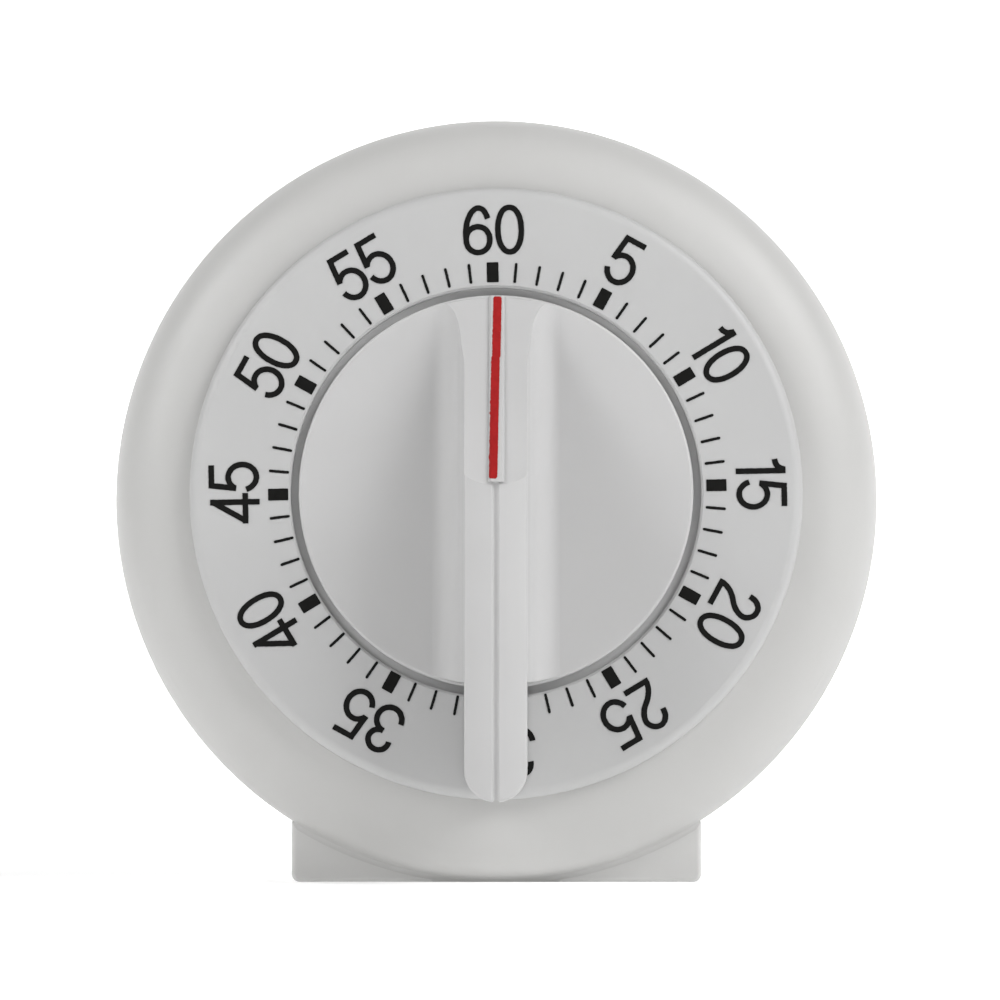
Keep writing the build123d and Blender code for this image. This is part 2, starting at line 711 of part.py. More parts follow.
def make_clutch_washer():
    """Three-armed friction washer that lets the knob be wound without turning the train."""
    with BuildPart() as clutch_washer:
        with BuildSketch(facing(-1.45)):
            Circle(4.2)
            for index in range(3):
                link(MAIN, polar(MAIN, 6.6, radians(90 + 120 * index)), 2.4)
            Circle(ARBOR + FIT, mode=Mode.SUBTRACT)
        extrude(amount=0.4)
    save(clutch_washer, "clutch_washer")


# ---------------------------------------------------------------- plates
def pivot_holes(level, holes):
    """Cuts round holes given as centre and radius."""
    for centre, radius in holes:
        discs([centre], radius, level[0] - 1, level[1] + 1, Mode.SUBTRACT)


def make_front_plate():
    """Movement plate behind the dial."""
    with BuildPart() as front_plate:
        discs([MAIN], PLATE_RADIUS, *FRONT_PLATE)
        pillars = [polar(MAIN, PILLAR_CIRCLE, radians(angle)) for angle in PILLAR_ANGLES]
        mounts = [polar(MAIN, MOUNT_CIRCLE, radians(angle)) for angle in MOUNT_ANGLES]
        holes = [(MAIN, ARBOR_SHOULDER + RUNNING), (HAMMER, HAMMER_PIVOT + RUNNING)]
        holes += [(centre, TRAIN_PIVOT + RUNNING) for centre in (SECOND, STRIKE)]
        holes += [(centre, FINE_PIVOT + RUNNING) for centre in (THIRD, ESCAPE, BALANCE)]
        holes += [(SPRING_POST, SPRING_TENON + FIT)]
        holes += [(LEVER_PIVOT, STUD_TENON + FIT), (LEAF_FOOT, LEAF_TENON + FIT)]
        holes += [(centre, TENON + FIT) for centre in pillars]
        holes += [(centre, MOUNT_SCREW + 0.2) for centre in mounts]
        pivot_holes(FRONT_PLATE, holes)
        with BuildSketch(facing(FRONT_PLATE[1])):
            for spot in ((-24.0, 3.0), (-20.5, -20.0), (24.5, 5.5)):
                with Locations(spot):
                    Circle(3.4)
        extrude(amount=1.0, mode=Mode.SUBTRACT)
    save(front_plate, "front_plate")


def make_back_plate():
    """Movement plate that carries the bell."""
    with BuildPart() as back_plate:
        discs([MAIN], PLATE_RADIUS, *BACK_PLATE)
        pillars = [polar(MAIN, PILLAR_CIRCLE, radians(angle)) for angle in PILLAR_ANGLES]
        mounts = [polar(MAIN, MOUNT_CIRCLE, radians(angle)) for angle in MOUNT_ANGLES]
        holes = [(MAIN, ARBOR_REAR + RUNNING), (HAMMER, HAMMER_PIVOT + RUNNING)]
        holes += [(centre, TRAIN_PIVOT + RUNNING) for centre in (SECOND, STRIKE)]
        holes += [(centre, FINE_PIVOT + RUNNING) for centre in (THIRD, ESCAPE, BALANCE)]
        holes += [(SPRING_POST, SPRING_TENON + FIT), (BELL_CENTRE, BELL_THREAD + FIT)]
        holes += [(centre, PILLAR_THREAD + FIT) for centre in pillars]
        holes += [(centre, 3.0) for centre in mounts]
        pivot_holes(BACK_PLATE, holes)
    save(back_plate, "back_plate")


def make_pillars():
    """Four shouldered pillars between the plates."""
    centres = [polar(MAIN, PILLAR_CIRCLE, radians(angle)) for angle in PILLAR_ANGLES]
    with BuildPart() as pillars:
        discs(centres, TENON, FRONT_PLATE[0], FRONT_PLATE[1])
        discs(centres, PILLAR_RADIUS, FRONT_PLATE[1], BACK_PLATE[0])
        discs(centres, PILLAR_THREAD, BACK_PLATE[0], 7.0)
        discs(centres, PILLAR_RADIUS + 0.5, -7.3, -6.7)
        discs(centres, PILLAR_RADIUS + 0.5, 2.7, 3.3)
    save(pillars, "pillars")


def make_pillar_nuts():
    """Four hexagon nuts on the pillars' threaded ends."""
    centres = [polar(MAIN, PILLAR_CIRCLE, radians(angle)) for angle in PILLAR_ANGLES]
    with BuildPart() as pillar_nuts:
        with BuildSketch(facing(6.6)):
            with Locations(*centres):
                RegularPolygon(NUT_FLATS / 2, 6, major_radius=False)
                Circle(PILLAR_THREAD + FIT, mode=Mode.SUBTRACT)
        extrude(amount=1.6)
        corners = pillar_nuts.faces().filter_by(Axis.Y).group_by(Axis.Y)[-1]
        chamfer(corners.edges().filter_by(GeomType.LINE), length=0.2)
    save(pillar_nuts, "pillar_nuts")


def make_mount_screws():
    """Three slotted screws that hold the front plate to the dial plate's bosses."""
    centres = [polar(MAIN, MOUNT_CIRCLE, radians(angle)) for angle in MOUNT_ANGLES]
    with BuildPart() as mount_screws:
        discs(centres, MOUNT_SCREW, -15.6, FRONT_PLATE[1])
        discs(centres, MOUNT_HEAD[0], FRONT_PLATE[1], MOUNT_HEAD[1])
        with BuildSketch(facing(MOUNT_HEAD[1])):
            with Locations(*centres):
                Rectangle(2.4 * MOUNT_HEAD[0], MOUNT_SLOT[0])
        extrude(amount=MOUNT_SLOT[1], mode=Mode.SUBTRACT)
    save(mount_screws, "mount_screws")


# ---------------------------------------------------------------- spring
def make_spring_post():
    """Fixed post that holds the mainspring's outer end."""
    with BuildPart() as spring_post:
        turned(
            SPRING_POST,
            [
                (FRONT_PLATE[0], FRONT_PLATE[1], SPRING_TENON),
                (FRONT_PLATE[1], BACK_PLATE[0], SPRING_POST_RADIUS),
                (BACK_PLATE[0], BACK_PLATE[1], SPRING_TENON),
            ],
        )
    save(spring_post, "spring_post")


def make_mainspring():
    """Flat spiral of steel strip with a loop round the post."""
    inner = 3.25
    loop = SPRING_POST_RADIUS + 0.04
    outer = 16.6 - loop - SPRING_STRIP / 2
    points = 18 * SPRING_TURNS
    with BuildPart() as mainspring:
        with BuildSketch(facing(-2.4)):
            with BuildLine():
                sides = []
                for offset in (-SPRING_STRIP / 2, SPRING_STRIP / 2):
                    track = []
                    for index in range(points + 1):
                        share = index / points
                        radius = inner + (outer - inner) * share + offset
                        angle = SPRING_ANGLE + 2 * pi * SPRING_TURNS * share
                        track.append(polar(MAIN, radius, angle))
                    sides.append(Spline(*track))
                Line(sides[0] @ 0, sides[1] @ 0)
                Line(sides[0] @ 1, sides[1] @ 1)
            make_face()
            with Locations(SPRING_POST):
                Circle(loop + SPRING_STRIP)
                Circle(loop, mode=Mode.SUBTRACT)
        extrude(amount=5.0)
    save(mainspring, "mainspring")


# ---------------------------------------------------------------- train
def wheel_blank(label, centre, level, teeth, module, phase, bore, hub, windows):
    """Toothed wheel with spokes and a hub; hub is radius, front and back."""
    spokes, width = windows
    rim = (teeth / 2 - 1.57) * module - 1.0
    with BuildPart() as wheel:
        with BuildSketch(facing(level[1])):
            wheel_outline(centre, teeth, module, phase)
        extrude(amount=level[1] - level[0])
        crossings(centre, level, rim, hub[0] + 0.4, spokes, width)
        discs([centre], hub[0] + 0.4, level[0], level[1])
        discs([centre], hub[0], hub[1], hub[2])
        discs([centre], bore, hub[1] - 1, hub[2] + 1, Mode.SUBTRACT)
    save(wheel, label)


def pinion_arbor(label, centre, steps, pinion, module, partner, phase):
    """Arbor and pinion cut from one bar; pinion is the leaves' front and back."""
    with BuildPart() as arbor:
        with BuildSketch(facing(pinion[1])):
            pinion_outline(centre, module, partner, phase)
        extrude(amount=pinion[1] - pinion[0])
        turned(centre, steps)
    save(arbor, label)


def train_arbor(front_pivot, body, back=3.8):
    """Steps of an arbor between the plates with a pivot in each plate."""
    return [
        (FRONT_PLATE[0], -7.8, front_pivot),
        (-7.8, back, body),
        (back, BACK_PLATE[1], front_pivot),
    ]


def make_going_train():
    """Great, second and third wheels with their pinion arbors."""
    wheel_blank(
        "great_wheel", MAIN, GREAT_LEVEL, GREAT_TEETH, GREAT_MODULE, GREAT_PHASE,
        ARBOR + RUNNING, (4.4, GREAT_LEVEL[0], 0.9), (3, 2.4),
    )
    pinion_arbor(
        "second_arbor", SECOND, train_arbor(TRAIN_PIVOT, STOUT_BODY), (-2.0, 0.3),
        GREAT_MODULE, GREAT_TEETH, SECOND_PINION,
    )
    wheel_blank(
        "second_wheel", SECOND, SECOND_LEVEL, SECOND_TEETH, SECOND_MODULE, SECOND_PHASE,
        STOUT_BODY + FIT, (2.2, 1.6, 3.4), (2, 1.8),
    )
    pinion_arbor(
        "third_arbor", THIRD, train_arbor(FINE_PIVOT, THIRD_BODY), (1.9, 3.5),
        SECOND_MODULE, SECOND_TEETH, THIRD_PINION,
    )
    wheel_blank(
        "third_wheel", THIRD, THIRD_LEVEL, THIRD_TEETH, THIRD_MODULE, THIRD_PHASE,
        THIRD_BODY + FIT, (1.9, -0.6, 1.2), (2, 1.6),
    )
    pinion_arbor(
        "escape_arbor", ESCAPE, train_arbor(FINE_PIVOT, ESCAPE_BODY), (-0.3, 1.7),
        THIRD_MODULE, THIRD_TEETH, ESCAPE_PINION,
    )


def make_escape_wheel():
    """Twenty pointed teeth on a spoked rim."""
    phase = toward(ESCAPE, BALANCE)
    with BuildPart() as escape_wheel:
        with BuildSketch(facing(ESCAPE_LEVEL[1])):
            saw_ring(ESCAPE, ESCAPE_TEETH, ESCAPE_RADIUS, 4.9, phase, 1)
        extrude(amount=ESCAPE_LEVEL[1] - ESCAPE_LEVEL[0])
        crossings(ESCAPE, ESCAPE_LEVEL, 4.1, 2.0, 2, 1.0)
        discs([ESCAPE], 1.6, -4.6, -2.8)
        discs([ESCAPE], ESCAPE_BODY + FIT, -6.0, -1.0, Mode.SUBTRACT)
    save(escape_wheel, "escape_wheel")


def make_balance():
    """Staff, two-armed pallet anchor and the weighted wheel that times the ticks."""
    with BuildPart() as balance_staff:
        turned(BALANCE, train_arbor(FINE_PIVOT, BALANCE_BODY))
    save(balance_staff, "balance_staff")
    aim = toward(BALANCE, ESCAPE)
    with BuildPart() as pallet_anchor:
        with BuildSketch(facing(ESCAPE_LEVEL[1])):
            with Locations(BALANCE):
                Circle(1.8)
            for side in (-1, 1):
                corner = polar(BALANCE, 4.1, aim + side * radians(62))
                tip = polar(BALANCE, 4.4, aim + side * radians(50))
                link(BALANCE, corner, 1.1)
                link(corner, tip, 0.7)
        extrude(amount=ESCAPE_LEVEL[1] - ESCAPE_LEVEL[0])
        discs([BALANCE], 1.4, -4.8, -2.6)
        discs([BALANCE], BALANCE_BODY + FIT, -6.0, -1.0, Mode.SUBTRACT)
    save(pallet_anchor, "pallet_anchor")
    with BuildPart() as balance_wheel:
        discs([BALANCE], 7.0, *BALANCE_LEVEL)
        crossings(BALANCE, BALANCE_LEVEL, 5.6, 2.2, 1, 1.6, 30)
        discs([BALANCE], 1.7, -7.3, -5.3)
        discs([BALANCE], BALANCE_BODY + FIT, -8.0, -4.0, Mode.SUBTRACT)
    save(balance_wheel, "balance_wheel")


# ---------------------------------------------------------------- alarm
def make_strike():
    """Strike wheel that shakes the hammer's verge."""
    pinion_arbor(
        "strike_arbor", STRIKE, train_arbor(TRAIN_PIVOT, STOUT_BODY), (-2.0, 0.3),
        GREAT_MODULE, GREAT_TEETH, STRIKE_PINION,
    )
    with BuildPart() as strike_wheel:
        with BuildSketch(facing(STRIKE_LEVEL[1])):
            saw_ring(STRIKE, STRIKE_TEETH, STRIKE_RADIUS, 6.4, toward(STRIKE, HAMMER), -1)
        extrude(amount=STRIKE_LEVEL[1] - STRIKE_LEVEL[0])
        crossings(STRIKE, STRIKE_LEVEL, 5.4, 2.4, 2, 1.4)
        discs([STRIKE], 1.9, 0.9, 2.8)
        discs([STRIKE], STOUT_BODY + FIT, 0.0, 4.0, Mode.SUBTRACT)
    save(strike_wheel, "strike_wheel")


def make_hammer():
    """Hammer arbor with its verge, stop finger, arm and head."""
    with BuildPart() as hammer_arbor:
        turned(
            HAMMER,
            [(-12.0, -7.8, HAMMER_PIVOT), (-7.8, 3.8, HAMMER_BODY), (3.8, 10.6, HAMMER_PIVOT)],
        )
    save(hammer_arbor, "hammer_arbor")
    aim = toward(HAMMER, STRIKE)
    with BuildPart() as hammer_verge:
        with BuildSketch(facing(STRIKE_LEVEL[1])):
            with Locations(HAMMER):
                Circle(2.0)
            for side in (-1, 1):
                corner = polar(HAMMER, 5.0, aim + side * radians(68))
                tip = polar(HAMMER, 5.3, aim + side * radians(57))
                link(HAMMER, corner, 1.3)
                link(corner, tip, 0.9)
        extrude(amount=STRIKE_LEVEL[1] - STRIKE_LEVEL[0])
        discs([HAMMER], 1.8, 0.9, 3.0)
        discs([HAMMER], HAMMER_BODY + FIT, 0.0, 4.0, Mode.SUBTRACT)
    save(hammer_verge, "hammer_verge")
    with BuildPart() as stop_finger:
        with BuildSketch(facing(LEVER_LEVEL[1])):
            with Locations(HAMMER):
                Circle(1.9)
            link(HAMMER, (HAMMER[0], HAMMER[1] - 5.2), 1.4)
            with Locations(HAMMER):
                Circle(HAMMER_PIVOT + FIT, mode=Mode.SUBTRACT)
        extrude(amount=LEVER_LEVEL[1] - LEVER_LEVEL[0])
    save(stop_finger, "stop_finger")
    with BuildPart() as hammer_arm:
        with BuildSketch(facing(HAMMER_LEVEL[1])):
            with Locations(HAMMER):
                Circle(2.1)
            link(HAMMER, HEAD_CENTRE, 1.6)
            with Locations(HAMMER):
                Circle(HAMMER_PIVOT + FIT, mode=Mode.SUBTRACT)
            with Locations(HEAD_CENTRE):
                Circle(1.5)
                Circle(0.8 + FIT, mode=Mode.SUBTRACT)
        extrude(amount=HAMMER_LEVEL[1] - HAMMER_LEVEL[0])
    save(hammer_arm, "hammer_arm")
    with BuildPart() as hammer_head:
        discs([HEAD_CENTRE], HEAD_RADIUS, HAMMER_LEVEL[1], 13.0)
        ends = hammer_head.edges().filter_by(GeomType.CIRCLE)
        fillet(ends, radius=0.5)
        discs([HEAD_CENTRE], 0.8, 8.6, HAMMER_LEVEL[1])
    save(hammer_head, "hammer_head")


def make_release():
    """Release lever, its stud, clip and leaf spring, in front of the front plate."""
    tab = (HAMMER[0] - 1.9, HAMMER[1] - 5.4)
    with BuildPart() as release_lever:
        with BuildSketch(facing(LEVER_LEVEL[1])):
            with Locations(LEVER_PIVOT):
                Circle(2.6)
            link(LEVER_PIVOT, NOSE_ELBOW, 1.4)
            link(NOSE_ELBOW, polar(MAIN, 10.45, NOSE_ANGLE), 1.6)
            link(LEVER_PIVOT, (tab[0] - 1.0, tab[1] - 0.9), 1.4)
            link((tab[0] - 1.0, tab[1] - 0.9), tab, 1.1)
            with Locations(LEVER_PIVOT):
                Circle(STUD_BODY + RUNNING, mode=Mode.SUBTRACT)
        extrude(amount=LEVER_LEVEL[1] - LEVER_LEVEL[0])
    save(release_lever, "release_lever")
    with BuildPart() as lever_stud:
        turned(
            LEVER_PIVOT,
            [
                (-12.3, -10.4, STUD_BODY),
                (-10.4, FRONT_PLATE[0], 2.0),
                (FRONT_PLATE[0], FRONT_PLATE[1], STUD_TENON),
            ],
        )
        with BuildSketch(facing(-11.6)):
            with Locations(LEVER_PIVOT):
                Circle(1.6)
                Circle(STUD_NECK, mode=Mode.SUBTRACT)
        extrude(amount=0.4, mode=Mode.SUBTRACT)
    save(lever_stud, "lever_stud")
    with BuildPart() as lever_clip:
        with BuildSketch(facing(-11.62)):
            with Locations(LEVER_PIVOT):
                Circle(2.0)
                Circle(STUD_NECK + FIT, mode=Mode.SUBTRACT)
            with Locations((LEVER_PIVOT[0], LEVER_PIVOT[1] - 1.4)):
                Rectangle(1.2, 2.8, mode=Mode.SUBTRACT)
        extrude(amount=0.36)
    save(lever_clip, "lever_clip")
    with BuildPart() as lever_spring:
        discs([LEAF_FOOT], 1.9, -9.5, FRONT_PLATE[0])
        discs([LEAF_FOOT], LEAF_TENON, FRONT_PLATE[0], FRONT_PLATE[1])
        with BuildSketch(facing(-9.3)):
            link((LEAF_FOOT[0], LEAF_FOOT[1]), (LEAF_FOOT[0] + 2.0, LEAF_FOOT[1] + 0.5), 0.3)
            link((LEAF_FOOT[0] + 2.0, LEAF_FOOT[1] + 0.5), (-5.55, -13.2), 0.3)
        extrude(amount=2.1)
    save(lever_spring, "lever_spring")


def make_bell():
    """Domed steel bell on its post, with washer and nut."""
    bell_section = Plane(
        origin=(BELL_CENTRE[0], 0, AXIS_Z + BELL_CENTRE[1]), x_dir=(1, 0, 0), z_dir=(0, 0, 1)
    )
    bell_axis = Axis((BELL_CENTRE[0], 0, AXIS_Z + BELL_CENTRE[1]), (0, 1, 0))
    inner = BELL_RADIUS - BELL_WALL
    under = BELL_CROWN - BELL_WALL
    bore = BELL_THREAD + FIT
    with BuildPart() as bell:
        with BuildSketch(bell_section):
            with BuildLine():
                outside = Spline(
                    (BELL_RADIUS, BELL_RIM + 1.0),
                    (21.0, 13.6),
                    (8.0, BELL_CROWN),
                    tangents=[(-0.15, 1.0), (-1.0, 0.05)],
                )
                Polyline(outside @ 1, (bore, BELL_CROWN), (bore, under), (8.0, under))
                Spline(
                    (8.0, under),
                    (20.2, 12.9),
                    (inner, BELL_RIM + 1.0),
                    tangents=[(1.0, -0.05), (0.15, -1.0)],
                )
                Polyline(
                    (inner, BELL_RIM + 1.0),
                    (inner, BELL_RIM),
                    (BELL_RADIUS, BELL_RIM),
                    outside @ 0,
                )
            make_face()
        revolve(axis=bell_axis)
    save(bell, "bell")
    with BuildPart() as bell_post:
        turned(
            BELL_CENTRE,
            [
                (BACK_PLATE[0], BACK_PLATE[1], BELL_THREAD),
                (BACK_PLATE[1], 6.2, 3.2),
                (6.2, under, 2.2),
                (under, 17.7, BELL_THREAD),
            ],
        )
    save(bell_post, "bell_post")
    with BuildPart() as bell_washer:
        discs([BELL_CENTRE], 3.6, BELL_CROWN, BELL_CROWN + 0.4)
        discs([BELL_CENTRE], bore, BELL_CROWN - 1, BELL_CROWN + 1, Mode.SUBTRACT)
    save(bell_washer, "bell_washer")
    with BuildPart() as bell_nut:
        with BuildSketch(facing(17.6)):
            with Locations(BELL_CENTRE):
                RegularPolygon(2.75, 6, major_radius=False)
                Circle(bore, mode=Mode.SUBTRACT)
        extrude(amount=17.6 - (BELL_CROWN + 0.4))
        crown = bell_nut.faces().filter_by(Axis.Y).group_by(Axis.Y)[-1]
        chamfer(crown.edges().filter_by(GeomType.LINE), length=0.25)
    save(bell_nut, "bell_nut")


make_front_case()
make_rear_case()
make_back_cover()
make_case_screws()
make_dial_plate()
save(make_knob(), "knob")
make_main_arbor()
make_arbor_clip()
make_zero_cam()
make_clutch_washer()
make_front_plate()
make_back_plate()
make_pillars()
make_pillar_nuts()
make_mount_screws()
make_spring_post()
make_mainspring()
make_going_train()
make_escape_wheel()
make_balance()
make_strike()
make_hammer()
make_release()
make_bell()
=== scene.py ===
"""Looks of the kitchen timer: moulded plastic, printed scale, clockwork metals, studio."""

import json
import math
import random

import bmesh
import bpy
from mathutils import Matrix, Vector
from mathutils.bvhtree import BVHTree


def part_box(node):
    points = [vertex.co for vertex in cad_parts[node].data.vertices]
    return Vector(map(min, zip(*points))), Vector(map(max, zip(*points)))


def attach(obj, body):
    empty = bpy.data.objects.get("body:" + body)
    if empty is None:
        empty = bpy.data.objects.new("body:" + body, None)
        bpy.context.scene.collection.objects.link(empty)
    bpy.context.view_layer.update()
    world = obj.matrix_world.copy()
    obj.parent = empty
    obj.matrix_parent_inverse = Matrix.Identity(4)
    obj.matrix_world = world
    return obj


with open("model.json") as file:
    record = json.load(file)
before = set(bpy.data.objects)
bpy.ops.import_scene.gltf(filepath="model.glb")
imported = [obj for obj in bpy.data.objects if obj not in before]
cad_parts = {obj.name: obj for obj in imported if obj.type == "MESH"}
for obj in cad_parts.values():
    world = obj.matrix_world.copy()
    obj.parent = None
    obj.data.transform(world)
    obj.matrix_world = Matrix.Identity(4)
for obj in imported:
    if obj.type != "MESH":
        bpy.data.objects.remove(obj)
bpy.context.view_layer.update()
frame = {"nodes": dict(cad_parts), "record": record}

MM = 0.001
case_low, case_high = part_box("front_case")
DIAL_X = (case_low[0] + case_high[0]) / 2
DIAL_Z = (case_low[2] + case_high[2]) / 2
DIAL_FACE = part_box("dial_plate")[0][1]
KNOB_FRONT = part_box("knob")[0][1]
CASE_RADIUS = (case_high[0] - case_low[0]) / 2

# the print, in millimetres
INK_HEIGHT = 0.05
INK_SINK = 0.03
LAYER = 0.004
STROKE = 0.75
CAP = 6.65
PRINT_SCALE = 0.982
LETTER_GAP = 0.30
NUMERAL_BASE = 30.95
TICK_IN = 27.35
TICK_LENGTH = 2.65
MAJOR_WIDTH = 1.55
MINOR_WIDTH = 0.37
# share of the full width at the ends of a tick and of the pointer line, point by point
MAJOR_ENDS = (0.95,)
MINOR_ENDS = (0.55,)
POINTER_ENDS = (0.66, 0.90)
PRINT_TURN = math.radians(1.2)
PRINT_RISE = 0.20
PRINT_RIGHT = 0.16
# numerals placed one by one: sideways, extra gap and outward shift of each number
PLACING = {
    5: (0.19, 0.0, 0.10), 10: (0.12, 0.40, 0.0), 15: (0.0, 0.50, 0.29),
    20: (0.0, 0.16, 0.19), 25: (0.0, 0.16, 0.11), 30: (-0.13, 0.0, 0.0),
    35: (0.13, 0.19, 0.14), 40: (0.35, 0.10, 0.30), 45: (0.35, -0.08, 0.16),
    50: (0.03, -0.10, 0.0), 55: (0.0, 0.0, -0.13), 60: (0.22, 0.05, 0.0),
}
RAGGED = 0.018
# pointer line: top and bottom end from the dial axis, then by share of its length from the rim
# where it steps aside, how ragged its right edge is and the place, depth and reach of each nick
POINTER_TOP = (0.17, 25.1)
POINTER_BOTTOM = (-0.26, 0.4)
POINTER_WIDTH = 1.05
POINTER_STEP = (0.34, 0.045)
POINTER_WEAR = 0.05
POINTER_COLUMNS = 12
POINTER_NICKS = (
    (0.59, 0.10, 0.012), (0.65, 0.17, 0.010), (0.71, 0.07, 0.020),
    (0.80, 0.09, 0.015), (0.885, 0.11, 0.020),
)
SAMPLE = 0.16

# moulded rounding between the bezel and the foot, in millimetres: how far it reaches down the
# foot's front and ahead along the bezel, how deep it is sunk, and its steps round and along
CREASE_DOWN = 0.62
CREASE_AHEAD = 0.8
CREASE_SINK = 0.06
CREASE_STEPS = 8
CREASE_STATIONS = 160
# at its ends: half its length, where the foot's upright edge starts to round, the radius of that
# edge, and the length and least share of its taper
FOOT_HALF = 26.55
FOOT_FLAT = 26.1
FOOT_ROUND = 0.6
FOOT_TAPER = 1.2
TAPER_END = 0.3
# in its middle: half width and depth of the web that goes down to the ground
WEB_HALF = 8.05
WEB_DEPTH = 1.5
GROUND_CLEAR = 0.02

# radiance of the light tent around the object, on the camera's side and elsewhere
TENT_FRONT = 0.37
TENT_SIDES = 0.85
TENT_TURN = (-1.0, -0.25)
# stage: half width, front edge, where the wall starts to bend up, its bend and its top
STAGE_HALF = 3.0
STAGE_FRONT = -2.5
STAGE_DEPTH = 0.9
STAGE_BEND = 0.5
STAGE_TOP = 2.5
STAGE_STEPS = 16
FLOOR_GLOW = 0.31
WALL_GLOW = 0.9

# soft lights: name, place, size and watts; all look at the dial's middle
LIGHTS = (
    ("overhead", (0, -0.35, 1.0), (1.2, 0.8), 0.9),
    ("key", (0.75, -0.5, 0.65), (0.6, 0.6), 9.0),
    ("left", (-0.75, -0.45, 0.55), (0.3, 0.5), 4.6),
)

# camera: distance, the point it looks at in depth, rise and turn, and the case's share of the
# picture's width
CAMERA_DISTANCE = 0.52
CAMERA_AIM = -0.006
CAMERA_RISE = math.radians(-4.2)
CAMERA_TURN = math.radians(0.2)
CASE_SHARE = 0.7574
LENS_SHIFT = (0.0036, -0.0006)


# ---------------------------------------------------------------- node helpers
def new_material(name):
    """Material with a Principled shader, and its node tree."""
    material = bpy.data.materials.new(name)
    material.use_nodes = True
    tree = material.node_tree
    return material, tree, tree.nodes["Principled BSDF"]


def node(tree, kind, **values):
    """Adds a node and sets its inputs and properties by name."""
    made = tree.nodes.new(kind)
    for key, value in values.items():
        if key in made.inputs:
            made.inputs[key].default_value = value
        else:
            setattr(made, key, value)
    return made


def noise(tree, scale, detail=3.0, rough=0.5, stretch=None):
    """Noise in object coordinates, per metre, optionally stretched along the axes."""
    place = node(tree, "ShaderNodeTexCoord")
    source = place.outputs["Object"]
    if stretch:
        mapping = node(tree, "ShaderNodeMapping")
        mapping.inputs["Scale"].default_value = stretch
        tree.links.new(source, mapping.inputs["Vector"])
        source = mapping.outputs["Vector"]
    made = node(tree, "ShaderNodeTexNoise")
    made.inputs["Scale"].default_value = scale
    made.inputs["Detail"].default_value = detail
    made.inputs["Roughness"].default_value = rough
    tree.links.new(source, made.inputs["Vector"])
    return made.outputs["Fac"]


def ramp(tree, source, low, high, start=0.3, end=0.7):
    """Colour ramp between two colours or two greys."""
    made = node(tree, "ShaderNodeValToRGB")
    stops = made.color_ramp.elements
    for stop, place, value in ((stops[0], start, low), (stops[1], end, high)):
        stop.position = place
        stop.color = (value, value, value, 1) if isinstance(value, float) else (*value, 1)
    tree.links.new(source, made.inputs["Fac"])
    return made.outputs["Color"]


def add_bump(tree, shader, layers):
    """Chains bump nodes; each layer is height source, strength and distance in metres."""
    previous = None
    for source, strength, distance in layers:
        bump = node(tree, "ShaderNodeBump")
        bump.inputs["Strength"].default_value = strength
        bump.inputs["Distance"].default_value = distance
        tree.links.new(source, bump.inputs["Height"])
        if previous:
            tree.links.new(previous, bump.inputs["Normal"])
        previous = bump.outputs["Normal"]
    tree.links.new(previous, shader.inputs["Normal"])


# ---------------------------------------------------------------- materials
def moulded_plastic(name, light, shade, gloss, grain):
    """Satin injection-moulded plastic with a faint grain, haze and handling marks."""
    material, tree, shader = new_material(name)
    cloud = noise(tree, 38.0, 2.0)
    tree.links.new(ramp(tree, cloud, shade, light, 0.35, 0.65), shader.inputs["Base Color"])
    haze = noise(tree, 150.0, 5.0, 0.6)
    tree.links.new(ramp(tree, haze, gloss, gloss + 0.09), shader.inputs["Roughness"])
    shader.inputs["IOR"].default_value = 1.46
    shader.inputs["Subsurface Weight"].default_value = 0.06
    shader.inputs["Subsurface Radius"].default_value = (0.002, 0.002, 0.0018)
    shader.inputs["Subsurface Scale"].default_value = 1.0
    fine = noise(tree, 5200.0, 2.0)
    ripple = noise(tree, 60.0, 1.0)
    add_bump(tree, shader, [(ripple, 0.10, 0.0004), (fine, grain, 0.00002)])
    return material


def metal(name, light, shade, rough, brush, bumps):
    """Metal with brushed or tumbled texture and slight tarnish."""
    material, tree, shader = new_material(name)
    shader.inputs["Metallic"].default_value = 1.0
    stain = noise(tree, 190.0, 5.0, 0.65)
    tree.links.new(ramp(tree, stain, shade, light), shader.inputs["Base Color"])
    grain = noise(tree, 900.0, 4.0, 0.6, brush)
    tree.links.new(ramp(tree, grain, rough, rough + 0.18), shader.inputs["Roughness"])
    add_bump(tree, shader, [(grain, bumps, 0.00003)])
    return material


def printing_ink(name, light, shade):
    """Pad-printed ink: slightly uneven film with a soft sheen."""
    material, tree, shader = new_material(name)
    film = noise(tree, 1400.0, 4.0, 0.6)
    tree.links.new(ramp(tree, film, shade, light), shader.inputs["Base Color"])
    tree.links.new(ramp(tree, film, 0.48, 0.66), shader.inputs["Roughness"])
    shader.inputs["Specular IOR Level"].default_value = 0.12
    add_bump(tree, shader, [(film, 0.25, 0.00002)])
    return material


